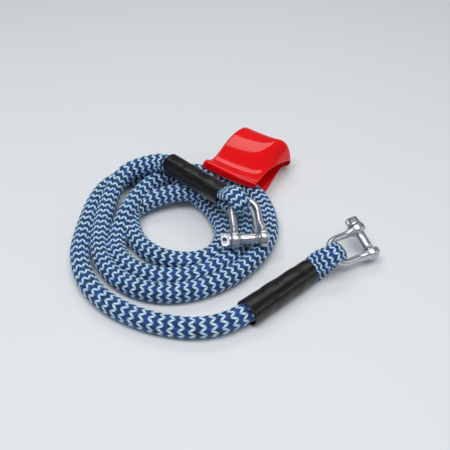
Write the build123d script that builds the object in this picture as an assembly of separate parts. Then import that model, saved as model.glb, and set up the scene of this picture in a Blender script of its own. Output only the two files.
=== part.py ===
from build123d import *
import math
import os

# An elastic tow rope for a car: a braided rope in a loose coil, an eye under a black sleeve
# at each end, a shackle with a screw pin in each eye, and a red film flag on the outer turn.
# Millimetres, +Z up. The rope lies on the plane z = 0.

# Where the rope's own layout sits from the middle of the whole part.
HOME = (0.6, 15.8, 0.0)

# Rope
ROPE_R = 9.0
COVER_WALL = 2.5
FLOOR_Z = ROPE_R
STEPS = 3  # straight runs in each quarter of a turn

# The coil, quarter turn by quarter turn: the point where the rope runs level or straight
# away, its height there, how full the curve up to it is, and how far it humps on the way.
COIL_START = (-78.0, 56.0, 35.5)
COIL_QUARTERS = [
    # x, y, z, fullness, hump
    (-121.0, -32.0, FLOOR_Z, 3.0, 0.0),
    (-48.0, -104.0, FLOOR_Z, 2.0, 0.0),
    (46.0, -13.0, FLOOR_Z, 1.8, 0.0),
    (-34.0, 72.0, 14.0, 2.2, 0.0),
    (-105.0, -35.0, FLOOR_Z, 1.75, 11.0),
    (-43.0, -86.0, 11.0, 2.0, 0.0),
    (22.0, -11.0, FLOOR_Z, 1.9, 0.0),
    (-38.0, 31.0, 19.0, 2.0, 6.5),
    (-95.0, 3.0, FLOOR_Z, 1.8, 0.0),
    (-38.0, -63.0, FLOOR_Z, 2.0, 0.0),
    (0.0, -17.0, FLOOR_Z, 2.5, 0.0),
    (-88.0, 72.0, FLOOR_Z, 1.55, 0.0),
    (-137.5, -35.0, FLOOR_Z, 2.8, 0.0),
]
WEB_LOW, WEB_HIGH = 1.0, 8.0  # what joins the turns between the inner and the outer one
EDGES_IN_PIECE = 11  # the coil is swept in pieces this short, so that none meets itself

# The rope from the coil to the free end, point by point
FREE_RUN = [
    (-134.0, -62.0, FLOOR_Z),
    (-122.0, -91.0, FLOOR_Z),
    (-101.0, -114.0, FLOOR_Z),
    (-72.0, -131.0, FLOOR_Z),
    (-41.0, -140.0, FLOOR_Z),
    (-14.0, -141.0, FLOOR_Z + 0.6),
]
LEAD_OUT = 8.0  # how far the rope keeps straight outside a sleeve

# End fittings. +X of a fitting runs from the sleeve to the shackle, +Y along the pin to its head.
SLEEVE_LENGTH = 78.0
SLEEVE_R = 10.6
SLEEVE_WALL = 0.7
ROPE_IN_SLEEVE = 22.0
TAIL_R = 8.6
TAIL_SLIT = 1.0
TAIL_OUT = 2.0
FERRULE_R = 9.8
FERRULE_LENGTH = 9.0
FERRULE_AT = (31.0, 58.0)
EYE_R = 12.0
EYE_HOLE_R = 7.0
EYE_WIDTH = 13.0
NECK_R = 7.2
NECK_OVERLAP = 3.0
EYE_ROUNDING = 2.2

BAR_R = 3.25
BAR_Y = 12.25
EAR_R = 8.5
EAR_WIDTH = 8.0
EAR_Y = 13.25
PIN_R = 5.0
PIN_IN_EAR_R = 4.95  # over the thread in one ear and the plain shank in the other
GROOVE_R = 4.4
GROOVE_Y = (8.2, 9.2)  # the thread's run-out groove, and its like at the head's end
EAR_HOLE_R = 5.05
PIN_REACH = 40.0  # from the bow's crown to the pin
PIN_END_Y = -17.9
COLLAR_R = 7.5
COLLAR_LENGTH = 2.0
HEAD_LENGTH = 6.4
HEAD_WIDTH = 13.0
HEAD_THICKNESS = 4.6
HEAD_HOLE_R = 2.0

FREE_SLEEVE_MOUTH = (77.0, -75.0, SLEEVE_R)
FREE_SLEEVE_WAY = (0.755, 0.656, 0.0)
FREE_PIN = (130.0, -42.0, 16.0)
FREE_PULL = (0.833, 0.544, -0.10)  # the way the shackle hangs from its eye
FREE_HEAD = (-0.453, 0.774, 0.438)  # the way its pin's head points

TOP_SLEEVE_MOUTH = (-1.0, -4.0, 40.5)
TOP_SLEEVE_WAY = (0.71, -0.71, 0.02)
TOP_PIN = (22.0, -51.0, 27.8)
TOP_PULL = (0.125, -0.91, -0.395)
TOP_HEAD = (-0.988, -0.151, 0.035)

# Flag: film folded over itself behind the outer turn, with a lip on the rope
FLAG_CORNER = (-24.7, 69.8, 0.0)
FLAG_WAY = (0.907, -0.420, 0.0)  # along the lip
FLAG_BACK = (0.617, 0.787, 0.0)  # from the lip to the far fold
FLAG_START = 3.0
FLAG_WIDTH = 58.0
FILM = 0.8
FLAG_OUTLINE = [
    # back from the lip, up, rounding
    (16.0, 0.5, 0.0),
    (61.0, 0.5, 12.0),
    (63.5, 40.0, 15.0),
    (34.0, 37.0, 25.0),
    (-1.5, 31.0, 3.0),
    (-3.0, 23.5, 0.0),
]


def point_on_quarter(start, end, fullness, hump, share, sideways):
    """The rope's centre on a quarter turn: a superellipse between the two points that bound it."""
    turn = share * math.pi / 2
    out = math.sin(turn) ** (2 / fullness)
    back = math.cos(turn) ** (2 / fullness)
    if sideways:
        x = start[0] + (end[0] - start[0]) * out
        y = end[1] + (start[1] - end[1]) * back
    else:
        x = end[0] + (start[0] - end[0]) * back
        y = start[1] + (end[1] - start[1]) * out
    z = start[2] + (end[2] - start[2]) * (1 - math.cos(math.pi * share)) / 2
    return (x, y, z + hump * math.sin(math.pi * share) ** 2)


def coil_points(first, last, steps):
    """The coil's centre-line from one quarter point to another."""
    stations = [COIL_START] + [quarter[:3] for quarter in COIL_QUARTERS]
    points = []
    for index in range(first, last):
        fullness, hump = COIL_QUARTERS[index][3:]
        for step in range(steps):
            at = point_on_quarter(
                stations[index], stations[index + 1], fullness, hump, step / steps, index % 2 == 0
            )
            points.append(at)
    return points + [stations[last]]


def smooth_path(points):
    """Straight runs joined by tangent arcs, each as large as its two runs allow."""
    corners = [Vector(*p) for p in points]
    radii = []
    for before, corner, after in zip(corners, corners[1:], corners[2:]):
        half_turn = math.radians((corner - before).get_angle(after - corner)) / 2
        shorter = min((corner - before).length, (after - corner).length)
        radii.append(0.45 * shorter / math.tan(half_turn))
    return FilletPolyline(*corners, radius=radii), radii


def tube(edges, radius):
    """A round bar along connected edges."""
    path = Wire(edges)
    section = Plane(origin=path @ 0, z_dir=path % 0) * Circle(radius)
    return sweep(section, path=path)


def middle(first, second):
    return tuple((a + b) / 2 for a, b in zip(first, second))


def save(solid, name):
    """Writes one node, moved from the rope's layout to the part's middle."""
    export_step(Pos(*HOME) * solid, f"parts/{name}.step")


def fitting_plane(origin, pull, head):
    """The frame of a shackle: +X along its pull, +Y along its pin to the head."""
    return Plane(origin=origin, x_dir=pull, z_dir=Vector(*pull).cross(Vector(*head)))


def hinge_point(pin, pull):
    return Vector(*pin) - Vector(*pull).normalized() * PIN_REACH


def bar_along(start, end, radius):
    """A round bar between two points."""
    way = Vector(*end) - Vector(*start)
    return Plane(origin=start, z_dir=way) * Cylinder(
        radius, way.length, align=(Align.CENTER, Align.CENTER, Align.MIN)
    )


def make_sleeve(start, mouth):
    return bar_along(start, mouth, SLEEVE_R) - bar_along(start, mouth, SLEEVE_R - SLEEVE_WALL)


def make_ferrules(start, mouth):
    """Two crimped bands over the doubled rope."""
    way = (Vector(*mouth) - Vector(*start)).normalized()
    bands = Part()
    for centre in FERRULE_AT:
        low = Vector(*start) + way * (centre - FERRULE_LENGTH / 2)
        high = low + way * FERRULE_LENGTH
        bands += bar_along(low, high, FERRULE_R) - bar_along(low, high, TAIL_R)
    return bands


def make_eye(start, mouth, hinge, plane):
    """The rope's end turned back: a ring round the shackle's bar and its two tails in the sleeve."""
    way = (Vector(*mouth) - Vector(*start)).normalized()
    tail_start = Vector(*start) + way * ROPE_IN_SLEEVE
    tail_end = Vector(*mouth) + way * TAIL_OUT
    tail = bar_along(tail_start, tail_end, TAIL_R)
    across = plane.z_dir - way * plane.z_dir.dot(way)
    slit_plane = Plane(origin=(tail_start + Vector(*mouth)) * 0.5, x_dir=way, z_dir=across)
    slit_length = SLEEVE_LENGTH - ROPE_IN_SLEEVE - 8
    tail -= slit_plane * Box(slit_length, 3 * TAIL_R, TAIL_SLIT)
    ring = Rot(90, 0, 0) * Cylinder(EYE_R, EYE_WIDTH)
    ring = fillet(ring.edges(), EYE_ROUNDING)
    towards_mouth = tail_end - hinge
    sideways = plane.y_dir * towards_mouth.dot(plane.y_dir)
    bend = hinge + (towards_mouth - sideways).normalized() * EYE_R
    neck = bar_along(tail_end - way * NECK_OVERLAP, bend, NECK_R)
    knuckles = [Pos(*tail_end) * Sphere(TAIL_R - 0.4), Pos(*bend) * Sphere(NECK_R - 0.2)]
    hole = plane * (Rot(90, 0, 0) * Cylinder(EYE_HOLE_R, EYE_WIDTH + 3))
    return neck + knuckles + tail + plane * ring - hole


def make_bow():
    """A bar bent to a D, with an ear forged on each end."""
    straight = PIN_REACH - BAR_Y
    legs = []
    for side in (-1, 1):
        leg = Pos(BAR_Y + straight / 2, side * BAR_Y, 0) * Rot(0, 90, 0) * Cylinder(BAR_R, straight)
        ear = Pos(PIN_REACH, side * EAR_Y, 0) * Rot(90, 0, 0) * Cylinder(EAR_R, EAR_WIDTH)
        legs += [leg, fillet(ear.edges(), 1.2)]
    crown = Pos(BAR_Y, 0, 0) * Torus(BAR_Y, BAR_R)
    crown = split(crown, bisect_by=Plane.YZ.offset(BAR_Y), keep=Keep.BOTTOM)
    bow = crown + legs
    hole = Pos(PIN_REACH, 0, 0) * Rot(90, 0, 0) * Cylinder(EAR_HOLE_R, 60)
    return bow - hole


def make_pin():
    """The screw pin: shank, collar and a flat drilled head."""
    collar_start = EAR_Y + EAR_WIDTH / 2 + 0.2
    groove_in, groove_out = GROOVE_Y
    thread = bar_along((0, PIN_END_Y, 0), (0, -groove_out, 0), PIN_IN_EAR_R)
    thread = chamfer(thread.edges().sort_by(Axis.Y)[0], 0.8)
    shank = thread + bar_along((0, -groove_in, 0), (0, groove_in, 0), PIN_R)
    shank += bar_along((0, -groove_out, 0), (0, groove_out, 0), GROOVE_R)
    shank += bar_along((0, groove_out, 0), (0, collar_start, 0), PIN_IN_EAR_R)
    collar = Pos(0, collar_start + COLLAR_LENGTH / 2, 0) * Rot(90, 0, 0) * Cylinder(COLLAR_R, COLLAR_LENGTH)
    head = Box(HEAD_WIDTH, HEAD_LENGTH, HEAD_THICKNESS)
    head = fillet(head.edges().filter_by(Axis.Z).sort_by(Axis.Y)[-2:], 5.0)
    head -= Cylinder(HEAD_HOLE_R, 2 * HEAD_THICKNESS)
    head_centre = collar_start + COLLAR_LENGTH + HEAD_LENGTH / 2 - 0.1
    return Pos(PIN_REACH, 0, 0) * (shank + collar + Pos(0, head_centre, 0) * head)


def make_flag():
    """The folded film: a layer on the floor, a curl at the back, a top layer and a turned lip."""
    back = Vector(*FLAG_BACK).normalized()
    corner = Vector(*FLAG_CORNER) + Vector(*FLAG_WAY) * FLAG_START
    side = Plane(origin=corner, x_dir=back, z_dir=back.cross(Vector(0, 0, 1)))
    points = [(out, up) for out, up, rounding in FLAG_OUTLINE]
    roundings = [rounding for out, up, rounding in FLAG_OUTLINE[1:-1]]
    line = FilletPolyline(*points, radius=roundings)
    print("flag film length", round(line.length))
    return extrude(side * trace(line, line_width=FILM), amount=FLAG_WIDTH, dir=FLAG_WAY)


def coil_route():
    """The coil's points, from the middle of its first run to the middle of its last."""
    points = coil_points(0, len(COIL_QUARTERS), STEPS)
    first = middle(points[0], points[1])
    last = middle(points[-1], FREE_RUN[0])
    return [first] + points[1:] + [last]


def make_coil(sleeve_start, sleeve_mouth):
    """All laid turns as one solid, dented where the upper sleeve rests on them."""
    path, radii = smooth_path(coil_route())
    print("coil radii from", round(min(radii)), "to", round(max(radii)))
    edges = path.edges().sort_by(path)
    starts = range(0, len(edges), EDGES_IN_PIECE)
    turns = [tube(edges[low : low + EDGES_IN_PIECE], ROPE_R) for low in starts]
    outer = [p[:2] for p in coil_points(1, 4, STEPS) + coil_points(0, 1, STEPS)[:-1]]
    inner = [p[:2] for p in coil_points(8, 11, STEPS) + coil_points(11, 12, STEPS)[1:2]]
    web_face = make_face(Polyline(*outer, close=True)) - make_face(Polyline(*inner, close=True))
    web = Pos(0, 0, WEB_LOW) * extrude(web_face, amount=WEB_HIGH - WEB_LOW)
    coil = web + turns
    return coil - bar_along(sleeve_start, sleeve_mouth, SLEEVE_R + 0.3)


def make_cover_and_core(points, name):
    """The braided cover as a tube, and the bundle of rubber strands inside it."""
    path, radii = smooth_path(points)
    edges = path.edges().sort_by(path)
    bar = tube(edges, ROPE_R)
    core = tube(edges, ROPE_R - COVER_WALL)
    section = math.pi * ROPE_R**2 * path.length
    print(name, "radii", [round(r) for r in radii], "length", round(path.length))
    print(name, "volume against section times length", round(bar.volume / section, 4))
    save(bar - core, f"{name}_cover")
    save(core, f"{name}_core")


def make_fitting(name, start, mouth, pin, pull, head):
    """Sleeve, ferrules, eye, shackle bow and screw pin of one end."""
    hinge = hinge_point(pin, pull)
    plane = fitting_plane(hinge, pull, head)
    save(make_sleeve(start, mouth), f"{name}_sleeve")
    save(make_ferrules(start, mouth), f"{name}_ferrules")
    save(make_eye(start, mouth, hinge, plane), f"{name}_eye")
    save(plane * make_bow(), f"{name}_shackle_bow")
    save(plane * make_pin(), f"{name}_shackle_pin")


def main():
    os.makedirs("parts", exist_ok=True)
    starts = {}
    for name, mouth, way in (
        ("free", FREE_SLEEVE_MOUTH, FREE_SLEEVE_WAY),
        ("top", TOP_SLEEVE_MOUTH, TOP_SLEEVE_WAY),
    ):
        starts[name] = Vector(*mouth) - Vector(*way).normalized() * SLEEVE_LENGTH
    save(make_coil(starts["top"], TOP_SLEEVE_MOUTH), "rope_coil")

    free_way = Vector(*FREE_SLEEVE_WAY).normalized()
    free_points = [middle(coil_points(0, len(COIL_QUARTERS), STEPS)[-1], FREE_RUN[0])]
    free_points += FREE_RUN
    free_points += [starts["free"] - free_way * LEAD_OUT, starts["free"] + free_way * ROPE_IN_SLEEVE]
    make_cover_and_core(free_points, "free_run")

    top_way = Vector(*TOP_SLEEVE_WAY).normalized()
    top_points = [starts["top"] + top_way * ROPE_IN_SLEEVE, starts["top"] - top_way * LEAD_OUT / 2]
    top_points += [COIL_START, coil_route()[0]]
    make_cover_and_core(top_points, "top_lead")

    make_fitting("free", starts["free"], FREE_SLEEVE_MOUTH, FREE_PIN, FREE_PULL, FREE_HEAD)
    make_fitting("top", starts["top"], TOP_SLEEVE_MOUTH, TOP_PIN, TOP_PULL, TOP_HEAD)
    save(make_flag(), "warning_flag")


if __name__ == "__main__":
    main()
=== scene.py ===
import math

import bpy
import numpy as np
from bpy.props import FloatProperty, FloatVectorProperty, PointerProperty
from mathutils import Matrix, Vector


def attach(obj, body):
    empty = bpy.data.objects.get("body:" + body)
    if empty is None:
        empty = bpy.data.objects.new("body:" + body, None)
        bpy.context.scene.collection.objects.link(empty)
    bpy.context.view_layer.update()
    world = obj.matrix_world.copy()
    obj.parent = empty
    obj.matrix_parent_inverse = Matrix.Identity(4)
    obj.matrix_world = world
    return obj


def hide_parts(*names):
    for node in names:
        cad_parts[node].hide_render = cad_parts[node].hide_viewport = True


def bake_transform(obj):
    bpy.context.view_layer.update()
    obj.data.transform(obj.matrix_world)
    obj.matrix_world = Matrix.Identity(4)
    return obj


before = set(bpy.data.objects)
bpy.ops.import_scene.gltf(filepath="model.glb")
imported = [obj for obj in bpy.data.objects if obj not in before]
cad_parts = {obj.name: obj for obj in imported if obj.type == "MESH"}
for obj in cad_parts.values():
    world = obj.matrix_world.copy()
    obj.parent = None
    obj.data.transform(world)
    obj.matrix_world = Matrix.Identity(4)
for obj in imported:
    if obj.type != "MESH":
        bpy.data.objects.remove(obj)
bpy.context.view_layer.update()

bl_info = {
    "name": "Elastic Tow Rope",
    "version": (1, 0, 0),
    "blender": (4, 5, 0),
    "location": "3D View > Sidebar > Tow Rope",
    "description": "A coiled elastic tow rope with sleeved eyes, screw-pin shackles and a film flag",
    "category": "Add Mesh",
}

UP = np.array([0.0, 0.0, 1.0])

# The layout is in metres about its own middle, and HOME is where that lies in the part's frame.
HOME = np.array([0.0006, 0.0158, 0.0])
# The rope's middle line where it lies on the floor.
FLOOR_Z = 0.009
POINTS_PER_QUARTER = 3

COIL_START = (-0.078, 0.056, 0.0355)
COIL_QUARTERS = [
    # x, y, z, fullness of the quarter turn up to here, its hump
    (-0.121, -0.032, FLOOR_Z, 3.0, 0.0),
    (-0.048, -0.104, FLOOR_Z, 2.0, 0.0),
    (0.046, -0.013, FLOOR_Z, 1.8, 0.0),
    (-0.034, 0.072, 0.014, 2.2, 0.0),
    (-0.105, -0.035, FLOOR_Z, 1.75, 0.011),
    (-0.043, -0.086, 0.011, 2.0, 0.0),
    (0.022, -0.011, FLOOR_Z, 1.9, 0.0),
    (-0.038, 0.031, 0.019, 2.0, 0.0065),
    (-0.095, 0.003, FLOOR_Z, 1.8, 0.0),
    (-0.038, -0.063, FLOOR_Z, 2.0, 0.0),
    (0.0, -0.017, FLOOR_Z, 2.5, 0.0),
    (-0.088, 0.072, FLOOR_Z, 1.55, 0.0),
    (-0.1375, -0.035, FLOOR_Z, 2.8, 0.0),
]
FREE_RUN = [
    (-0.134, -0.062, FLOOR_Z),
    (-0.122, -0.091, FLOOR_Z),
    (-0.101, -0.114, FLOOR_Z),
    (-0.072, -0.131, FLOOR_Z),
    (-0.041, -0.140, FLOOR_Z),
    (-0.014, -0.141, FLOOR_Z + 0.0006),
]
LEAD_OUT = 0.008
SLEEVE_LENGTH = 0.078
ROPE_IN_SLEEVE = 0.022
PIN_REACH = 0.040

FITTINGS = {
    # sleeve's mouth, its direction, the pin's middle, the shackle's pull, the way to the pin's head
    "free": (
        (0.077, -0.075, 0.0106),
        (0.755, 0.656, 0.0),
        (0.130, -0.042, 0.016),
        (0.833, 0.544, -0.10),
        (-0.453, 0.774, 0.438),
    ),
    "top": (
        (-0.001, -0.004, 0.0405),
        (0.71, -0.71, 0.02),
        (0.022, -0.051, 0.0278),
        (0.125, -0.91, -0.395),
        (-0.988, -0.151, 0.035),
    ),
}

# The braid: zigzags round the rope, how deep each is in stripe pitches, the bundles' shift
# against the stripes, and the grid's points round it.
BRAID_PERIODS = 8
CREST_SHARE = 0.46
BUNDLE_SHIFT = 0.25
ROPE_COLUMNS = 64


def tone(red, green, blue):
    """A display colour from 0 to 255 as the linear one that shaders take."""
    share = np.array([red, green, blue]) / 255.0
    linear = np.where(share < 0.04045, share / 12.92, ((share + 0.055) / 1.055) ** 2.4)
    return tuple(float(c) for c in linear)


def scaled(colour, *factors):
    """A colour with each of its three numbers times its own factor, or all times one."""
    return [c * f for c, f in zip(colour, factors * 3 if len(factors) == 1 else factors)]


class TowRopeSettings(bpy.types.PropertyGroup):
    """The sizes and colours that a user would change."""

    rope_diameter: FloatProperty(
        name="Rope diameter",
        description="Across the braided cover, from crown to crown",
        default=0.0184,
        min=0.012,
        max=0.022,
        unit="LENGTH",
    )
    stripe_pitch: FloatProperty(
        name="Stripe pitch",
        description="Length of one blue and one white stripe along the rope",
        default=0.0085,
        min=0.004,
        max=0.02,
        unit="LENGTH",
    )
    braid_depth: FloatProperty(
        name="Braid depth",
        description="How far the grooves between the yarn bundles lie under their crowns",
        default=0.0008,
        min=0.0,
        max=0.002,
        unit="LENGTH",
    )
    sleeve_wall: FloatProperty(
        name="Sleeve wall",
        description="Thickness of the shrunk black sleeve",
        default=0.0007,
        min=0.0003,
        max=0.002,
        unit="LENGTH",
    )
    thread_pitch: FloatProperty(
        name="Thread pitch",
        description="Pitch of the screw thread on each pin",
        default=0.0015,
        min=0.0008,
        max=0.003,
        unit="LENGTH",
    )
    film_thickness: FloatProperty(
        name="Film thickness",
        description="Thickness of the flag's film",
        default=0.0003,
        min=0.0001,
        max=0.001,
        unit="LENGTH",
    )
    blue: FloatVectorProperty(
        name="Blue yarn", description="Colour of the blue stripes", subtype="COLOR", size=3,
        default=tone(0, 72, 154), min=0.0, max=1.0,
    )
    white: FloatVectorProperty(
        name="White yarn", description="Colour of the white stripes", subtype="COLOR", size=3,
        default=tone(202, 238, 255), min=0.0, max=1.0,
    )
    black: FloatVectorProperty(
        name="Sleeve black", description="Colour of the shrunk sleeves", subtype="COLOR", size=3,
        default=tone(11, 8, 8), min=0.0, max=1.0,
    )
    zinc: FloatVectorProperty(
        name="Zinc plate", description="Colour of the plated shackles", subtype="COLOR", size=3,
        default=tone(206, 208, 214), min=0.0, max=1.0,
    )
    red: FloatVectorProperty(
        name="Flag red", description="Colour of the flag's film", subtype="COLOR", size=3,
        default=tone(240, 0, 8), min=0.0, max=1.0,
    )


# ---- shader maths --------------------------------------------------------------------------


class Wire:
    """A shader socket on which sums can be written; each sum adds its own Math node."""

    def __init__(self, finish, socket):
        self.finish, self.socket = finish, socket

    def sum(self, operation, *values):
        """What a Math node makes of the values."""
        return self.finish.add("ShaderNodeMath", {"operation": operation}, dict(enumerate(values)))

    def __add__(self, other):
        return self.sum("ADD", self, other)

    def __sub__(self, other):
        return self.sum("SUBTRACT", self, other)

    def __rsub__(self, other):
        return self.sum("SUBTRACT", other, self)

    def __mul__(self, other):
        return self.sum("MULTIPLY", self, other)

    def __pow__(self, other):
        return self.sum("POWER", self, other)

    __radd__, __rmul__ = __add__, __mul__

    def part(self):
        """What is over its whole number."""
        return self.sum("FRACT", self)

    def whole(self):
        """The whole number below it."""
        return self.sum("FLOOR", self)

    def size(self):
        """Its size without its sign."""
        return self.sum("ABSOLUTE", self)

    def sine(self):
        """Its sine, as an angle in radians."""
        return self.sum("SINE", self)

    def spread(self, low, high, start=0.0, end=1.0):
        """Smoothly from start at low to end at high, and level outside."""
        settings = {"interpolation_type": "SMOOTHSTEP"}
        return self.finish.add("ShaderNodeMapRange", settings, {0: self, 1: low, 2: high, 3: start, 4: end})

    def beside(self, output):
        """Another output of the same node."""
        return Wire(self.finish, self.socket.node.outputs[output])


class Finish:
    """One material. add() makes every node from its type, its settings and its sockets' values."""

    def __init__(self, name, **fixed):
        """A new material, with what is the same all over set on its shader's own sockets."""
        self.material = bpy.data.materials.new(name)
        self.material.use_nodes = True
        self.tree = self.material.node_tree
        self.shader = self.tree.nodes["Principled BSDF"]
        for socket, value in fixed.items():
            self.feed(self.shader.inputs[socket.replace("_", " ")], value)

    def feed(self, socket, value):
        """Link a wire to a socket, or set the socket's value, a colour with its alpha."""
        if isinstance(value, Wire):
            self.tree.links.new(value.socket, socket)
        elif socket.type == "RGBA" and len(value) == 3:
            socket.default_value = (*value, 1.0)
        else:
            socket.default_value = value

    def add(self, kind, settings=None, sockets=None, output=0):
        """A new node, its settings made before its sockets, as the wire of one of its outputs."""
        node = self.tree.nodes.new(kind)
        for key, value in (settings or {}).items():
            setattr(node, key, value)
        for key, value in (sockets or {}).items():
            self.feed(node.inputs[key], value)
        return Wire(self, node.outputs[output])

    def lay(self):
        """How far along the piece and how far round it: the two numbers of its UV map."""
        uv = self.add("ShaderNodeUVMap", {"uv_map": "lay"})
        along = self.add("ShaderNodeSeparateXYZ", None, {0: uv})
        return along, along.beside("Y")

    def mix(self, share, first, second):
        """The first colour at share 0, the second at share 1."""
        sockets = {0: share, 6: first, 7: second}
        return self.add("ShaderNodeMix", {"data_type": "RGBA", "blend_type": "MIX"}, sockets, output=2)

    def noise(self, scale, detail=2.0, roughness=0.5):
        """Soft random cloud over the object's own place, scale cells to the metre."""
        place = self.add("ShaderNodeTexCoord", output="Object")
        sockets = {"Vector": place, "Scale": scale, "Detail": detail, "Roughness": roughness}
        return self.add("ShaderNodeTexNoise", None, sockets)

    def colour(self, wire):
        """Give the surface this colour."""
        self.feed(self.shader.inputs["Base Color"], wire)

    def roughness(self, wire):
        """Give the surface this roughness."""
        self.feed(self.shader.inputs["Roughness"], wire)

    def bump(self, height, distance, strength=1.0):
        """Raise the surface by the height times the distance, for light only."""
        sockets = {"Height": height, "Distance": distance, "Strength": strength}
        self.feed(self.shader.inputs["Normal"], self.add("ShaderNodeBump", None, sockets))


STRIPE_EDGE = (0.248, 0.272)
YARNS_PER_PITCH = 6.0
SLEEVE_LINES = 31


def braid_finish(settings):
    """Blue and white bundles in a zigzag round the rope, each of a few yarns, with painted shade in the
    grooves.
    """
    finish = Finish("Braided yarn", Roughness=0.62, Sheen_Weight=0.25, Sheen_Roughness=0.4)
    along, turn = finish.lay()
    crest = ((turn * BRAID_PERIODS).part() - 0.5).size() * 2.0 - 0.5
    place = along - crest * CREST_SHARE
    stripe = (place.part() - 0.5).size().spread(*STRIPE_EDGE)
    bundle, column = (place + BUNDLE_SHIFT) * 2.0, turn * (2 * BRAID_PERIODS)
    crown = (bundle.part() * math.pi).sine() ** 0.5 * (column.part() * math.pi).sine() ** 0.3
    cell = finish.add("ShaderNodeCombineXYZ", None, {0: bundle.whole(), 1: column.whole()})
    chance = finish.add("ShaderNodeTexWhiteNoise", None, {"Vector": cell})
    yarns = ((place * YARNS_PER_PITCH).part() * math.pi).sine()
    fuzz = finish.noise(900.0, 3.0, 0.6)
    blue = finish.mix(chance, scaled(settings.blue, 0.30), scaled(settings.blue, 1.2))
    white = finish.mix(chance, scaled(settings.white, 0.80, 0.90, 0.98), list(settings.white))
    # Painted shade: the colour goes to a dark navy in the grooves between the bundles and, more faintly,
    # between the yarns, where shade falls; the fuzz varies it at random.
    groove_shade = scaled(settings.white, 0.002, 0.009, 0.070)
    depth = crown.spread(0.20, 0.85) * (0.80 + yarns * 0.14 + fuzz * 0.12)
    finish.colour(finish.mix(depth, groove_shade, finish.mix(stripe, blue, white)))
    finish.bump(crown * 0.6 + yarns * 0.25 + fuzz * 0.15, 0.0005, 0.8)
    return finish.material


def sleeve_finish(settings):
    """Satin black shrunk tube: faint drawn lines along it, and patches more and less glossy."""
    finish = Finish("Shrunk sleeve", Specular_IOR_Level=0.42)
    turn = finish.lay()[1]
    patch = finish.noise(70.0, 3.0)
    grain = finish.noise(1400.0)
    finish.colour(finish.mix(patch, scaled(settings.black, 0.7), scaled(settings.black, 1.25)))
    finish.roughness(patch.spread(0.3, 0.7, 0.26, 0.34))
    lines = (turn * (2 * math.pi * SLEEVE_LINES)).sine() * 0.2
    finish.bump(grain * 0.3 + lines + patch * 0.6, 0.0002, 0.3)
    return finish.material


def zinc_finish(settings):
    """Bright zinc plate: a slight bluish cloud, and fine handling marks in the gloss."""
    finish = Finish("Zinc plate", Metallic=1.0)
    cloud = finish.noise(60.0)
    marks = finish.noise(500.0)
    finish.colour(finish.mix(cloud, list(settings.zinc), scaled(settings.zinc, 0.90, 0.91, 0.95)))
    finish.roughness(marks.spread(0.3, 0.75, 0.28, 0.34))
    finish.bump(cloud, 0.0001, 0.1)
    return finish.material


def film_finish(settings):
    """Glossy red film, a little uneven in its gloss, with soft waves in its surface."""
    finish = Finish("Red film", Specular_IOR_Level=0.12, Coat_Weight=0.6, Coat_Roughness=0.02)
    wave = finish.noise(26.0)
    speck = finish.noise(800.0)
    finish.colour(finish.mix(wave, list(settings.red), scaled(settings.red, 0.86)))
    finish.roughness(speck.spread(0.2, 0.8, 0.10, 0.14))
    finish.bump(wave + speck * 0.02, 0.0006, 0.08)
    return finish.material


def pressed_steel_finish(settings):
    """Dull pressed steel for the ferrules under the sleeves."""
    finish = Finish("Pressed steel", Metallic=1.0, Roughness=0.42)
    cloud = finish.noise(260.0, 4.0)
    finish.colour(finish.mix(cloud, (0.35, 0.35, 0.36), (0.55, 0.55, 0.56)))
    finish.bump(cloud, 0.0002, 0.4)
    return finish.material


FINISHES = {
    "Braided yarn": braid_finish,
    "Shrunk sleeve": sleeve_finish,
    "Zinc plate": zinc_finish,
    "Red film": film_finish,
    "Pressed steel": pressed_steel_finish,
}


def finish_named(name, settings):
    """The finish of this name, made when it is first asked for."""
    return bpy.data.materials.get(name) or FINISHES[name](settings)


# ---- surfaces ------------------------------------------------------------------------------


def unit(vectors):
    """Each vector divided by its length."""
    return vectors / np.linalg.norm(vectors, axis=-1, keepdims=True)


def grid_faces(grid, round_rows, round_columns, along, across):
    """A grid's quads and their corners' UV map; where it goes round, its last line meets its first."""
    rows, columns = grid.shape[:2]
    row, column = np.meshgrid(
        np.arange(rows - (not round_rows)), np.arange(columns - (not round_columns)), indexing="ij"
    )
    row, column = row.ravel(), column.ravel()
    corners = [(row, column), (row, column + 1), (row + 1, column + 1), (row + 1, column)]
    quads = np.stack([(r % rows) * columns + c % columns for r, c in corners], axis=1)
    lay = np.stack([np.stack([along[r], across[c]], axis=1) for r, c in corners], axis=1)
    return quads, lay


def cap_faces(grid, along, across):
    """A middle point for each end ring, and the triangles that close the rings to it."""
    rows, columns = grid.shape[:2]
    middles = np.stack([grid[0].mean(axis=0), grid[-1].mean(axis=0)])
    column = np.arange(columns)
    following = (column + 1) % columns
    last = (rows - 1) * columns
    first_fan = np.stack([following, column, np.full(columns, rows * columns)], axis=1)
    last_fan = np.stack([last + column, last + following, np.full(columns, rows * columns + 1)], axis=1)
    half = (across[:-1] + across[1:]) / 2
    lay = [
        np.stack([np.stack([np.full(columns, far), a], axis=1) for a in corners], axis=1)
        for far, corners in (
            (along[0], (across[1:], across[:-1], half)),
            (along[rows - 1], (across[:-1], across[1:], half)),
        )
    ]
    return middles, np.concatenate([first_fan, last_fan]), np.concatenate(lay)


def enclosed(points, faces):
    """Six times the volume in the faces, as tetrahedra to the origin: above 0 if they point out."""
    a, b, c = points[faces[:, 0]], points[faces[:, 1]], points[faces[:, 2]]
    volume = np.einsum("ij,ij->i", a, np.cross(b, c)).sum()
    if faces.shape[1] == 4:
        d = points[faces[:, 3]]
        volume += np.einsum("ij,ij->i", a, np.cross(c, d)).sum()
    return volume


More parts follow.
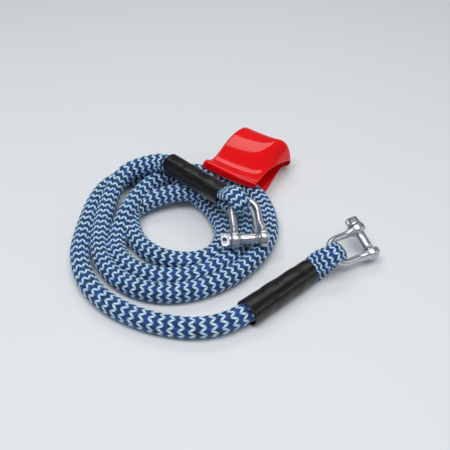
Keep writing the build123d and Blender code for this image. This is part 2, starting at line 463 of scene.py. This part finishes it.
def shell(grid, round_rows=False, round_columns=True, along=None):
    """A grid of points as a surface; a tube's open ends are closed, and a closed surface points out."""
    rows, columns = grid.shape[:2]
    along = np.linspace(0, 1, rows + 1) if along is None else along
    across = np.linspace(0, 1, columns + 1)
    quads, quad_lay = grid_faces(grid, round_rows, round_columns, along, across)
    points = grid.reshape(-1, 3)
    triangles, triangle_lay = np.zeros((0, 3), int), np.zeros((0, 3, 2))
    if round_columns and not round_rows:
        middles, triangles, triangle_lay = cap_faces(grid, along, across)
        points = np.concatenate([points, middles])
    if round_columns and enclosed(points, quads) + enclosed(points, triangles) < 0:
        quads, quad_lay = quads[:, ::-1], quad_lay[:, ::-1]
        triangles, triangle_lay = triangles[:, ::-1], triangle_lay[:, ::-1]
    return points, quads, quad_lay, triangles, triangle_lay


def make_piece(context, name, shells, body, finish):
    """One object from shells, smooth, at the origin, riding on its body if it is given one."""
    points, faces, lays, start = [], [], [], 0
    for one in shells:
        for polygons, lay in ((one[1], one[2]), (one[3], one[4])):
            faces += (polygons + start).tolist()
            lays.append(lay.reshape(-1, 2))
        points.append(one[0])
        start += len(one[0])
    mesh = bpy.data.meshes.new(name)
    mesh.from_pydata(np.concatenate(points).tolist(), [], faces)
    mesh.uv_layers.new(name="lay").data.foreach_set("uv", np.concatenate(lays).astype(np.float32).ravel())
    mesh.shade_smooth()
    mesh.materials.append(finish_named(finish, context.scene.tow_rope))
    piece = bpy.data.objects.new(name, mesh)
    context.scene.collection.objects.link(piece)
    if body:
        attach(piece, body)
    return piece


ROUTE_RESOLUTION = 24


def read_line(points):
    """The line that a NURBS spline takes with these control points, as Blender gives it."""
    curve = bpy.data.curves.new("route", "CURVE")
    curve.dimensions = "3D"
    curve.resolution_u = ROUTE_RESOLUTION
    spline = curve.splines.new("NURBS")
    spline.points.add(len(points) - 1)
    spline.points.foreach_set("co", np.column_stack([points, np.ones(len(points))]).ravel())
    spline.order_u = 3
    spline.use_endpoint_u = True
    holder = bpy.data.objects.new("route", curve)
    mesh = bpy.data.meshes.new_from_object(holder)
    line = np.zeros(len(mesh.vertices) * 3)
    mesh.vertices.foreach_get("co", line)
    bpy.data.objects.remove(holder)
    bpy.data.curves.remove(curve)
    bpy.data.meshes.remove(mesh)
    return line.reshape(-1, 3)


def travelled(line):
    """How far along the line each of its points is."""
    return np.concatenate([[0.0], np.cumsum(np.linalg.norm(np.diff(line, axis=0), axis=1))])


def evenly(line, spacing):
    """The line's points again, at equal distances along it."""
    far = travelled(line)
    at = np.linspace(0.0, far[-1], max(2, round(far[-1] / spacing)))
    return np.stack([np.interp(at, far, line[:, axis]) for axis in range(3)], axis=1)


def axes_along(line, reference):
    """Each point's two directions square to the line: the first also square to the reference."""
    way = unit(np.gradient(line, axis=0))
    side = unit(np.cross(way, reference))
    return side, np.cross(side, way)


def swept(line, side, up, half_width, half_height, turns):
    """Ellipses along a line: line + side * half_width * cos(turn) + up * half_height * sin(turn)."""
    angle = 2 * math.pi * turns
    across = np.cos(angle) * half_width
    above = np.sin(angle) * half_height
    return line[:, None, :] + side[:, None, :] * across[..., None] + up[:, None, :] * above[..., None]


def eased(value, start, length):
    """From 0 at the start to 1 after the length, in a straight line, and level outside."""
    return np.clip((value - start) / length, 0, 1)


def shares_round(columns):
    """Equal steps once round, as one row of shares of a turn from 0 to just under 1."""
    return (np.arange(columns) / columns)[None, :]


# ---- rope ----------------------------------------------------------------------------------


def quarter_turn(start, end, fullness, hump, sideways):
    """A superellipse's quarter from start towards end: sine and cosine to the power 2 / fullness."""
    share = np.arange(POINTS_PER_QUARTER) / POINTS_PER_QUARTER
    out = np.sin(share * math.pi / 2) ** (2 / fullness)
    back = np.cos(share * math.pi / 2) ** (2 / fullness)
    if sideways:
        x, y = start[0] + (end[0] - start[0]) * out, end[1] + (start[1] - end[1]) * back
    else:
        x, y = end[0] + (start[0] - end[0]) * back, start[1] + (end[1] - start[1]) * out
    z = start[2] + (end[2] - start[2]) * (1 - np.cos(math.pi * share)) / 2
    return np.stack([x, y, z + hump * np.sin(math.pi * share) ** 2], axis=1)


def coil_points():
    """The coil's turns, quarter by quarter, each from its own two bounding points."""
    stations = [COIL_START] + [quarter[:3] for quarter in COIL_QUARTERS]
    quarters = [
        quarter_turn(start, end, fullness, hump, index % 2 == 0)
        for index, (start, end, (_, _, _, fullness, hump)) in enumerate(
            zip(stations, stations[1:], COIL_QUARTERS)
        )
    ]
    return np.concatenate(quarters + [np.array([stations[-1]])])


def fitting_axes(name):
    """A fitting's sleeve start, mouth and way, its hinge, and the shackle's axes: pull, head, upright."""
    mouth, way, pin, pull, head = (np.array(v, float) for v in FITTINGS[name])
    way, pull = unit(way), unit(pull)
    start = mouth - way * SLEEVE_LENGTH
    hinge = pin - pull * PIN_REACH
    upright = unit(np.cross(pull, head))
    return start + HOME, mouth + HOME, way, hinge + HOME, pull, np.cross(upright, pull), upright


def rope_route():
    """Control points from inside the upper sleeve, round the coil, to inside the free sleeve."""
    top_start, _, top_way = fitting_axes("top")[:3]
    free_start, _, free_way = fitting_axes("free")[:3]
    lead = [top_start + top_way * ROPE_IN_SLEEVE, top_start - top_way * LEAD_OUT / 2]
    coil = coil_points() + HOME
    run = [np.array(p) + HOME for p in FREE_RUN]
    end = [free_start - free_way * LEAD_OUT, free_start + free_way * ROPE_IN_SLEEVE]
    return np.array(lead + list(coil) + run + end)


def crest_line(turn):
    """The zigzag that the bundles follow round the rope, from -0.5 to 0.5."""
    return 2 * np.abs((turn * BRAID_PERIODS) % 1 - 0.5) - 0.5


def crown_of(along, turn):
    """From 0 in a groove to 1 on a crown: a sine's hump over each bundle times one over each column."""
    bundle = (along - crest_line(turn) * CREST_SHARE + BUNDLE_SHIFT) * 2
    column = turn * 2 * BRAID_PERIODS
    return np.abs(np.sin(bundle * math.pi)) ** 0.6 * np.abs(np.sin(column * math.pi)) ** 0.4


def braided_tube(line, side, up, half_width, half_height, pitch, depth):
    """A braided cover along a line: ellipses less the depth of the braid's grooves."""
    turns = shares_round(ROPE_COLUMNS)
    steps = np.linalg.norm(np.diff(line, axis=0), axis=1) / pitch[:-1]
    along = np.concatenate([[0.0], np.cumsum(steps)])
    sunk = depth * (1 - crown_of(along[:, None], turns))
    grid = swept(line, side, up, half_width[:, None] - sunk, half_height[:, None] - sunk, turns)
    return shell(grid, along=along)


# The grid's rows lie ROPE_SPACING apart. The stripes are closer by COIL_SQUEEZE in the coil, which
# ends at COIL_SHARE of the rope's length, and open out over the last COIL_EASE before that.
ROPE_SPACING = 0.00107
COIL_SHARE = 0.82
COIL_EASE = 0.06
COIL_SQUEEZE = 0.13


class TOWROPE_OT_make_rope(bpy.types.Operator):
    """Lay the braided rope: a few loose turns, from inside one sleeve to inside the other"""

    bl_idname = "towrope.make_rope"
    bl_label = "Lay the Rope"

    def execute(self, context):
        settings = context.scene.tow_rope
        route = evenly(read_line(rope_route()), ROPE_SPACING)
        side, up = axes_along(route, UP)
        half = np.full(len(route), settings.rope_diameter / 2)
        share = travelled(route) / travelled(route)[-1]
        coiled = np.clip((COIL_SHARE - share) / COIL_EASE, 0, 1)
        pitch = settings.stripe_pitch * (1 - COIL_SQUEEZE * coiled)
        cover = braided_tube(route, side, up, half, half, pitch, settings.braid_depth)
        rope = make_piece(context, "braided_rope", [cover], "rope", "Braided yarn")
        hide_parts("rope_coil", "free_run_cover", "free_run_core", "top_lead_cover", "top_lead_core")
        return {"FINISHED"}


# ---- sleeves -------------------------------------------------------------------------------

SLEEVE_SHAPES = {
    # half width at the rope's end and at the mouth, half height at each
    "free": (0.0120, 0.0108, 0.0105, 0.0104),
    "top": (0.0104, 0.0106, 0.0102, 0.0103),
}
SLEEVE_ROWS = 118
SLEEVE_COLUMNS = 96
# The oval's squareness, and the rows next to each end, by which the end is rounded.
SLEEVE_SQUARENESS = 2.3
END_STEP = 0.0004
END_LENGTH = 0.0008
END_ROUNDING = 0.00022
# Where the sleeve swells over the ferrules and is drawn in beside them, how far each reaches
# along it, and how much each adds or takes.
SWELLS = ((0.031, 0.058), 0.0052, 0.00022)
WAISTS = ((0.0225, 0.0445, 0.0675), 0.0030, 0.00016)
# Slanting creases: depth, how many go round, and how fast they turn along the sleeve.
CREASES = ((0.00005, 3, 190), (0.00004, 5, -310))


def sleeve_growth(far):
    """What the tube stands out by along its length: bells over the ferrules and beside them, rounded ends."""
    (swell_at, swell_reach, swell), (waist_at, waist_reach, waist) = SWELLS, WAISTS
    swelling = sum(np.exp(-(((far - at) / swell_reach) ** 4)) for at in swell_at)
    drawn_in = sum(np.exp(-(((far - at) / waist_reach) ** 2)) for at in waist_at)
    rim = np.minimum(1.0, np.minimum(far, SLEEVE_LENGTH - far) / END_LENGTH)
    return swelling * swell - drawn_in * waist - END_ROUNDING * (1 - np.sqrt(1 - (1 - rim) ** 2))


def sleeve_shell(name, wall):
    """A shrunk tube: an oval, |cos|^n + |sin|^n = 1, that tapers from one end's size to the other's."""
    start, _, way = fitting_axes(name)[:3]
    side = unit(np.cross(way, UP))
    up = np.cross(side, way)
    wide_start, wide_mouth, high_start, high_mouth = SLEEVE_SHAPES[name]
    middle = np.linspace(3 * END_STEP, SLEEVE_LENGTH - 3 * END_STEP, SLEEVE_ROWS)
    far = np.concatenate([[0.0, END_STEP], middle, [SLEEVE_LENGTH - END_STEP, SLEEVE_LENGTH]])
    share = far / SLEEVE_LENGTH
    grow = sleeve_growth(far)
    turns = shares_round(SLEEVE_COLUMNS)
    angle = 2 * math.pi * turns
    power = SLEEVE_SQUARENESS
    oval = (np.abs(np.cos(angle)) ** power + np.abs(np.sin(angle)) ** power) ** (-1 / power)
    crease = sum(deep * np.sin(angle * count + far[:, None] * slant) for deep, count, slant in CREASES)
    half_width = (wide_start + (wide_mouth - wide_start) * share + grow)[:, None] * oval + crease
    half_height = (high_start + (high_mouth - high_start) * share + grow)[:, None] * oval + crease
    line = start + way * far[:, None]
    sides, ups = np.broadcast_to(side, line.shape), np.broadcast_to(up, line.shape)
    outer = swept(line, sides, ups, half_width, half_height, turns)
    inner = swept(line, sides, ups, half_width - wall, half_height - wall, turns)[::-1]
    along = np.concatenate([far, far[::-1], [0.0]]) / SLEEVE_LENGTH
    return shell(np.concatenate([outer, inner]), round_rows=True, along=along)


class TOWROPE_OT_make_sleeves(bpy.types.Operator):
    """Shrink a black sleeve over each end of the rope"""

    bl_idname = "towrope.make_sleeves"
    bl_label = "Shrink the Sleeves"

    def execute(self, context):
        for name in FITTINGS:
            tube = sleeve_shell(name, context.scene.tow_rope.sleeve_wall)
            piece = make_piece(
                context, f"{name}_shrunk_sleeve", [tube], "rope", "Shrunk sleeve"
            )
            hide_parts(f"{name}_sleeve")
        return {"FINISHED"}


# ---- eyes ----------------------------------------------------------------------------------

# The shackle's bar: its radius, and how far its legs stand from the middle.
BAR_RADIUS = 0.00325
BAR_OFFSET = 0.01225
BAR_CLEARANCE = 0.0002
SMALLEST = 1e-6

# The two layers stand EYE_APART from the sleeve's middle, from EYE_DEPTH inside its mouth, and the
# eye slides round the crown by EYE_SLIDE of the angle between the sleeve and the shackle.
EYE_APART = 0.0046
EYE_SLIDE = 0.8
EYE_DEPTH = 0.026
EYE_LAYER = (EYE_DEPTH, 0.010, -0.002)
# Round the bar, from the lower layer to the upper: how far out and how high.
EYE_TURN = (
    (-0.007, -0.0084), (0.001, -0.0088), (0.0070, -0.0058), (0.0079, 0.0),
    (0.0070, 0.0058), (0.001, 0.0088), (-0.007, 0.0084),
)
EYE_SPACING = 0.0005
EYE_PITCH = 0.0052
EYE_BRAID_DEPTH = 0.0006
# Half width and half height: inside the sleeve, what they gain outside it, and lose over the bar.
EYE_WIDTHS = (0.0091, 0.0014, 0.0012)
EYE_HEIGHTS = (0.0043, 0.0010, 0.0010)
# From where and over what length, past the sleeve's mouth, it opens out and is pinched over the bar.
EYE_OPENS = (-0.0005, 0.004)
EYE_PINCHED = (0.012, 0.010)
# The same for its turn from the bar's way of lying to the sleeve's, as shares of half its length.
EYE_TURNS = (0.35, 0.30)


def eye_line(name):
    """The rope's middle round the shackle: out of the sleeve, over the bar, back into the sleeve."""
    _, mouth, way, hinge, pull, head, upright = fitting_axes(name)
    slide = EYE_SLIDE * math.atan2(-head @ way, pull @ way)
    lead = pull * math.cos(slide) - head * math.sin(slide)
    across = head * math.cos(slide) + pull * math.sin(slide)
    middle = hinge + BAR_OFFSET * (pull * (1 - math.cos(slide)) + head * math.sin(slide))
    over = upright if upright[2] > 0 else -upright
    sleeve_side = unit(np.cross(way, UP))
    lift = np.cross(sleeve_side, way)
    lift = lift if lift[2] > 0 else -lift
    lower = [mouth - way * back - lift * EYE_APART for back in EYE_LAYER]
    upper = [mouth - way * back + lift * EYE_APART for back in reversed(EYE_LAYER)]
    turn = [middle + lead * out + over * high for out, high in EYE_TURN]
    return np.array(lower + turn + upper), across, sleeve_side


def eye_cover(name):
    """A flattened braid on the eye's line: level with the sleeve inside it, and with the bar outside."""
    points, across, sleeve_side = eye_line(name)
    line = evenly(read_line(points), EYE_SPACING)
    far = travelled(line)
    inside = eased(np.abs(far / far[-1] - 0.5) * 2, *EYE_TURNS)[:, None]
    across = across if across @ sleeve_side > 0 else -across
    reference = sleeve_side * inside + across * (1 - inside)
    way = unit(np.gradient(line, axis=0))
    side = unit(reference - way * np.einsum("ij,ij->i", way, reference)[:, None])
    up = np.cross(side, way)
    past_mouth = np.minimum(far, far[-1] - far) - EYE_DEPTH
    out, over_bar = eased(past_mouth, *EYE_OPENS), eased(past_mouth, *EYE_PINCHED)
    half_width, half_height = (
        sleeved + gain * out - loss * over_bar for sleeved, gain, loss in (EYE_WIDTHS, EYE_HEIGHTS)
    )
    pitch = np.full(len(line), EYE_PITCH)
    points, *faces = braided_tube(line, side, up, half_width, half_height, pitch, EYE_BRAID_DEPTH)
    return pressed_clear(points, name), *faces


def pressed_clear(points, name):
    """Move points that lie in the shackle's bar out to its surface, straight away from its middle line."""
    _, _, _, hinge, pull, head, upright = fitting_axes(name)
    axes = np.stack([pull, head, upright])
    local = (points - hinge) @ axes.T
    out, side, high = local[..., 0], local[..., 1], local[..., 2]
    bent = out < BAR_OFFSET
    from_middle = np.where(bent, np.hypot(out - BAR_OFFSET, side), np.abs(side)) - BAR_OFFSET
    away = np.hypot(from_middle, high)
    push = np.maximum(away, BAR_RADIUS + BAR_CLEARANCE) / np.maximum(away, SMALLEST)
    scale = (BAR_OFFSET + from_middle * push) / np.maximum(from_middle + BAR_OFFSET, SMALLEST)
    new_out = np.where(bent, BAR_OFFSET + (out - BAR_OFFSET) * scale, out)
    return hinge + np.stack([new_out, side * scale, high * push], axis=-1) @ axes


class TOWROPE_OT_make_eyes(bpy.types.Operator):
    """Turn each end of the rope back round its shackle, pressed flat"""

    bl_idname = "towrope.make_eyes"
    bl_label = "Turn the Eyes"

    def execute(self, context):
        for name in FITTINGS:
            cover = eye_cover(name)
            piece = make_piece(context, f"{name}_braided_eye", [cover], "rope", "Braided yarn")
            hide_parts(f"{name}_eye")
        return {"FINISHED"}


# ---- shackles ------------------------------------------------------------------------------

EAR_RADIUS = 0.0085
EAR_OFFSET = 0.01325
EAR_HALF = 0.004
EAR_HOLE = 0.00505
EAR_ROUNDING = 0.0026
HOLE_ROUNDING = 0.0003

# The bar: where its legs end, where they start to flare, over what length, and how much.
BAR_COLUMNS = 48
LEG_END = 0.0350
LEG_ROWS = 39
CROWN_ROWS = 73
FLARE_FROM = 0.0235
FLARE_LENGTH = 0.0105
FLARE_WIDE = 0.0006
FLARE_HIGH = 0.0031

# The pin: the grid's points round it, the collar's near face, and the thread's ends, radius and depth.
TURNED_COLUMNS = 96
TURNED_ANGLES = 2 * math.pi * shares_round(TURNED_COLUMNS)
COLLAR_FACE = EAR_OFFSET + EAR_HALF + 0.0002
THREAD_FROM, THREAD_TO = -0.0174, -0.0094
THREAD_RADIUS = 0.00492
THREAD_DEPTH = 0.00042
ROWS_PER_THREAD = 8
# Distance along the axis and radius: the domed tip; the plain shank, with a groove at each side of
# its middle; and the collar, from its near face.
PIN_TIP = [(-0.0189, 0.0004), (-0.0188, 0.0016), (-0.0185, 0.0028), (-0.0180, 0.0038), (-0.0176, 0.0044)]
PIN_SHANK = [
    (-0.0092, 0.0046), (-0.0090, 0.0044), (-0.0084, 0.0044), (-0.0082, 0.0047), (-0.0079, 0.0050),
    (-0.004, 0.0050), (0.0, 0.0050), (0.004, 0.0050), (0.0079, 0.0050), (0.0082, 0.0047),
    (0.0084, 0.0044), (0.0090, 0.0044), (0.0092, 0.0047), (0.0095, 0.00495), (0.0135, 0.00495),
]
PIN_COLLAR = [
    (-0.0002, 0.00495), (0.0, 0.0052), (0.0, 0.0070), (0.0002, 0.0074), (0.0006, 0.0075), (0.0014, 0.0075),
    (0.0018, 0.0073), (0.0020, 0.0068), (0.0021, 0.0040), (0.0021, 0.0004),
]

# The flat head: its middle, its half size, how square it is, and its drilled hole.
HEAD_MIDDLE = COLLAR_FACE + 0.0051
HEAD_HALF = (0.0066, 0.0034, 0.0023)
HEAD_SQUARENESS = 5.0
HEAD_HOLE = 0.0020
# Going out over the face and back over the other: share of the way from hole to edge, and height.
HEAD_FACE = (
    (0.0, 0.82), (0.06, 0.98), (0.2, 1.0), (0.5, 1.0), (0.8, 1.0), (0.92, 0.97), (0.975, 0.86), (1.0, 0.60),
)


def put(local, name):
    """Points given along the shackle's pull, head and upright, moved to the fitting's place."""
    _, _, _, hinge, pull, head, upright = fitting_axes(name)
    return hinge + local @ np.stack([pull, head, upright])


def bow_bar():
    """The bent bar: straight legs and a half-circle crown, flaring where each leg runs into its ear."""
    straight = np.linspace(LEG_END, BAR_OFFSET, LEG_ROWS + 1)[:-1]
    turn = np.linspace(-math.pi / 2, -3 * math.pi / 2, CROWN_ROWS)
    crown = np.stack([BAR_OFFSET + BAR_OFFSET * np.cos(turn), BAR_OFFSET * np.sin(turn)], axis=1)
    lower = np.stack([straight, np.full(len(straight), -BAR_OFFSET)], axis=1)
    upper = np.stack([straight[::-1], np.full(len(straight), BAR_OFFSET)], axis=1)
    flat = np.concatenate([lower, crown, upper])
    line = np.column_stack([flat, np.zeros(len(flat))])
    near_ear = eased(line[:, 0], FLARE_FROM, FLARE_LENGTH)
    flare = near_ear**2 * (3 - 2 * near_ear)
    line[:, 1] += np.sign(line[:, 1]) * flare * (EAR_OFFSET - BAR_OFFSET)
    side = np.cross(unit(np.gradient(line, axis=0)), UP)
    ups = np.broadcast_to(UP, line.shape)
    half_width = (BAR_RADIUS + flare * FLARE_WIDE)[:, None]
    half_height = (BAR_RADIUS + flare * FLARE_HIGH)[:, None]
    return swept(line, side, ups, half_width, half_height, shares_round(BAR_COLUMNS))


def turned(out, radius):
    """Rings round the pin's axis, each at its distance out along it: radius * cos and radius * sin."""
    across, above = radius * np.cos(TURNED_ANGLES), radius * np.sin(TURNED_ANGLES)
    return np.stack([PIN_REACH + across, np.broadcast_to(out, across.shape), above], axis=-1)


def ear_ring(side):
    """An ear as a ring turned about the pin: a section of four rounded corners, the outer ones rounder."""
    low, high = side * EAR_OFFSET - EAR_HALF, side * EAR_OFFSET + EAR_HALF
    quarter = np.linspace(0, math.pi / 2, 7)
    corners = [
        (high - EAR_ROUNDING, EAR_RADIUS - EAR_ROUNDING, 0.0, EAR_ROUNDING),
        (low + EAR_ROUNDING, EAR_RADIUS - EAR_ROUNDING, math.pi / 2, EAR_ROUNDING),
        (low + HOLE_ROUNDING, EAR_HOLE + HOLE_ROUNDING, math.pi, HOLE_ROUNDING),
        (high - HOLE_ROUNDING, EAR_HOLE + HOLE_ROUNDING, 3 * math.pi / 2, HOLE_ROUNDING),
    ]
    out = np.concatenate([x + size * np.cos(turn + quarter) for x, _, turn, size in corners])
    radius = np.concatenate([y + size * np.sin(turn + quarter) for _, y, turn, size in corners])
    return turned(out[:, None], radius[:, None])


def pin_body(pitch):
    """The screw pin turned about its axis; its thread's depth is a triangle wave of distance and angle."""
    threaded = np.arange(THREAD_FROM, THREAD_TO, pitch / ROWS_PER_THREAD)
    thread = np.column_stack([threaded, np.full(len(threaded), THREAD_RADIUS)])
    collar = np.array(PIN_COLLAR) + (COLLAR_FACE, 0.0)
    profile = np.concatenate([PIN_TIP, thread, PIN_SHANK, collar])
    out, radius = profile[:, :1], profile[:, 1:]
    cut = np.zeros_like(out)
    cut[len(PIN_TIP) : len(PIN_TIP) + len(thread)] = THREAD_DEPTH
    wave = np.abs(((out / pitch + TURNED_ANGLES / (2 * math.pi)) % 1) * 2 - 1)
    return turned(out, radius - cut * wave)


def pin_head():
    """The flat head round its hole: its edge is |x/a|^n + |y/b|^n = 1, its faces go from hole to edge."""
    long, wide, thick = HEAD_HALF
    cosine, sine = np.cos(TURNED_ANGLES), np.sin(TURNED_ANGLES)
    power = HEAD_SQUARENESS
    edge = (np.abs(cosine / long) ** power + np.abs(sine / wide) ** power) ** (-1 / power)
    share, high = np.array(HEAD_FACE + tuple((s, -h) for s, h in reversed(HEAD_FACE))).T[:, :, None]
    radius = HEAD_HOLE + (edge - HEAD_HOLE) * share
    height = np.broadcast_to(high * thick, radius.shape)
    return np.stack([PIN_REACH + radius * cosine, HEAD_MIDDLE + radius * sine, height], axis=-1)


class TOWROPE_OT_make_shackles(bpy.types.Operator):
    """Forge each shackle's bow and turn its screw pin"""

    bl_idname = "towrope.make_shackles"
    bl_label = "Make the Shackles"

    def execute(self, context):
        for name in FITTINGS:
            bow = [shell(put(bow_bar(), name))]
            bow += [shell(put(ear_ring(side), name), round_rows=True) for side in (-1, 1)]
            piece = make_piece(
                context, f"{name}_forged_bow", bow, f"{name}_shackle", "Zinc plate"
            )
            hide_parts(f"{name}_shackle_bow")
            pin = [shell(put(pin_body(context.scene.tow_rope.thread_pitch), name))]
            pin += [shell(put(pin_head(), name), round_rows=True)]
            piece = make_piece(context, f"{name}_screw_pin", pin, f"{name}_pin", "Zinc plate")
            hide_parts(f"{name}_shackle_pin")
        return {"FINISHED"}


# ---- flag ----------------------------------------------------------------------------------

# How many rows and columns the film's surface is drawn with.
FLAG_ROWS, FLAG_COLUMNS = 220, 60
FLAG_NET = [
    # four points across the film in each row, from its left edge to its right, in mm;
    # the rows go from the layer on the floor, round the fold behind, over the top, to the turned lip
    [(-8, 86, 0.5), (16, 68, 4), (35, 56, 6), (43, 53, 0.5)],
    [(8, 100, 0.5), (32, 84, 4), (45, 77, 7), (53, 76, 0.5)],
    [(24, 117, 0.5), (45, 103, 2), (57, 99, 3), (62, 98, 0.5)],
    [(30, 122, 14), (52, 107, 12), (67, 104, 9), (69, 98, 1)],
    [(29, 121, 34), (52, 106, 31), (72, 99, 30), (72, 93, 10)],
    [(22, 116, 42), (45, 100, 40.5), (69, 94, 38), (71, 90, 14)],
    [(11, 104, 42), (33, 86, 40), (57, 81, 37), (66, 85, 18)],
    [(1, 91, 38), (22, 72, 36), (42, 63, 33), (51, 66, 24)],
    [(-9, 77, 30), (13, 60, 29), (32, 49, 28.5), (42, 51, 27)],
    [(-14, 72, 28), (9, 53, 27.5), (28, 41, 28), (37, 41, 27)],
    [(-19, 69, 31.5), (6, 49.5, 30.5), (25, 38, 29), (33.5, 35, 27.5)],
    [(-23, 66, 29.5), (2, 46, 29), (21, 35.5, 27), (30, 32, 25.5)],
    [(-24, 67, 22), (2, 46.5, 22), (21, 37, 20), (30, 33.5, 19)],
]


def spline_weights(count, samples):
    """Each sample's weight on each control point: a clamped quadratic B-spline, by Cox and de Boor."""
    knots = np.concatenate([[0, 0], np.arange(count - 1), [count - 2, count - 2]]).astype(float)
    tiny = 1e-9
    at = np.linspace(0, count - 2 - tiny, samples)[:, None]
    weights = ((knots[:-1] <= at) & (at < knots[1:])).astype(float)
    for order in (1, 2):
        rise = knots[order:-1] - knots[: -order - 1]
        fall = knots[order + 1 :] - knots[1:-order]
        up = np.where(rise > 0, (at - knots[: -order - 1]) / np.maximum(rise, tiny), 0) * weights[:, :-1]
        down = np.where(fall > 0, (knots[order + 1 :] - at) / np.maximum(fall, tiny), 0) * weights[:, 1:]
        weights = up + down
    return weights


class TOWROPE_OT_make_flag(bpy.types.Operator):
    """Fold the red film behind the outer turn, its lip lying on the rope"""

    bl_idname = "towrope.make_flag"
    bl_label = "Fold the Flag"

    def execute(self, context):
        net = np.array(FLAG_NET, float) / 1000 + HOME
        rows, columns = spline_weights(len(net), FLAG_ROWS), spline_weights(len(net[0]), FLAG_COLUMNS)
        grid = np.einsum("ri,ijk,cj->rck", rows, net, columns)
        film = shell(grid, round_columns=False)
        piece = make_piece(context, "film_flag", [film], None, "Red film")
        solid = piece.modifiers.new("Film", "SOLIDIFY")
        solid.thickness = context.scene.tow_rope.film_thickness
        solid.offset = 0.0
        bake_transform(piece)
        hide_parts("warning_flag")
        return {"FINISHED"}


class TOWROPE_OT_finish_ferrules(bpy.types.Operator):
    """Give the ferrules under the sleeves their pressed steel"""

    bl_idname = "towrope.finish_ferrules"
    bl_label = "Finish the Ferrules"

    def execute(self, context):
        for name in FITTINGS:
            node = bpy.data.objects[f"{name}_ferrules"]
            node.data.materials.clear()
            node.data.materials.append(finish_named("Pressed steel", context.scene.tow_rope))
        return {"FINISHED"}


# ---- stage ---------------------------------------------------------------------------------


CAMERA_LENS = 52.8
CAMERA_SENSOR = 36.0
CAMERA_AWAY = 0.660
CAMERA_TILT = math.radians(41.0)
FLOOR_HALF = 6
FLOOR_DROP = 0.0002
SKY = (0.94, 0.97, 1.0, 1.0)
SKY_STRENGTH = 0.24
LIGHTS = (
    # name, place, width and length, power in watts
    ("Overhead back", (-0.1, 0.78, 1.20), (1.3, 0.34), 3.6),
    ("Overhead front", (-0.1, -0.40, 1.30), (1.4, 0.60), 13.4),
    ("Side fill", (1.4, -0.3, 0.8), (0.5, 0.8), 1.8),
)


def aim(thing, place):
    """Stand a camera or a light at a place, looking at the middle of the coil."""
    thing.location = place
    thing.rotation_euler = (Vector(HOME) - Vector(place)).to_track_quat("-Z", "Y").to_euler()


def add_light(context, name, place, size, power):
    """A soft rectangular light that looks at the middle of the coil."""
    light = bpy.data.lights.new(name, "AREA")
    light.shape = "RECTANGLE"
    light.size, light.size_y = size
    light.energy = power
    lamp = bpy.data.objects.new(name, light)
    context.scene.collection.objects.link(lamp)
    aim(lamp, place)


class TOWROPE_OT_make_stage(bpy.types.Operator):
    """Set the camera, a pale floor and soft studio light"""

    bl_idname = "towrope.make_stage"
    bl_label = "Set the Stage"

    def execute(self, context):
        scene = context.scene
        camera = bpy.data.objects.new("Camera", bpy.data.cameras.new("Camera"))
        scene.collection.objects.link(camera)
        camera.data.sensor_width = CAMERA_SENSOR
        camera.data.lens = CAMERA_LENS
        camera.data.clip_start = 0.01
        aim(camera, HOME + CAMERA_AWAY * np.array([0.0, -math.cos(CAMERA_TILT), math.sin(CAMERA_TILT)]))
        scene.camera = camera

        finish = Finish("Pale floor", Roughness=0.9, Specular_IOR_Level=0.1)
        finish.colour(finish.mix(finish.noise(1.2, 1.0), tone(224, 228, 231), tone(231, 233, 236)))
        floor = bpy.data.meshes.new("Floor")
        square = ((-1, -1), (1, -1), (1, 1), (-1, 1))
        corners = [(x * FLOOR_HALF, y * FLOOR_HALF, -FLOOR_DROP) for x, y in square]
        floor.from_pydata(corners, [], [(0, 1, 2, 3)])
        floor.materials.append(finish.material)
        ground = bpy.data.objects.new("Floor", floor)
        scene.collection.objects.link(ground)

        scene.view_settings.view_transform = "Standard"
        world = bpy.data.worlds.new("Studio")
        world.use_nodes = True
        sky = world.node_tree.nodes["Background"].inputs
        sky["Color"].default_value = SKY
        sky["Strength"].default_value = SKY_STRENGTH
        scene.world = world
        for light in LIGHTS:
            add_light(context, *light)
        return {"FINISHED"}


class TOWROPE_PT_panel(bpy.types.Panel):
    """The steps that make the tow rope"""

    bl_idname = "TOWROPE_PT_panel"
    bl_label = "Tow Rope"
    bl_space_type = "VIEW_3D"
    bl_region_type = "UI"
    bl_category = "Tow Rope"

    def draw(self, context):
        for key in TowRopeSettings.__annotations__:
            self.layout.prop(context.scene.tow_rope, key)
        for operator in MAKERS:
            self.layout.operator(operator.bl_idname)


MAKERS = (
    TOWROPE_OT_make_stage,
    TOWROPE_OT_make_rope,
    TOWROPE_OT_make_sleeves,
    TOWROPE_OT_make_eyes,
    TOWROPE_OT_make_shackles,
    TOWROPE_OT_make_flag,
    TOWROPE_OT_finish_ferrules,
)
CLASSES = (TowRopeSettings, *MAKERS, TOWROPE_PT_panel)


def register():
    """Add the classes and the scene's settings to Blender."""
    for one in CLASSES:
        bpy.utils.register_class(one)
    bpy.types.Scene.tow_rope = PointerProperty(type=TowRopeSettings)


def unregister():
    """Take them away again."""
    del bpy.types.Scene.tow_rope
    for one in reversed(CLASSES):
        bpy.utils.unregister_class(one)


def main():
    """Make the whole tow rope."""
    register()
    bpy.ops.towrope.make_stage()
    bpy.ops.towrope.make_rope()
    bpy.ops.towrope.make_sleeves()
    bpy.ops.towrope.make_eyes()
    bpy.ops.towrope.make_shackles()
    bpy.ops.towrope.make_flag()
    bpy.ops.towrope.finish_ferrules()


if __name__ == "__main__":
    main()
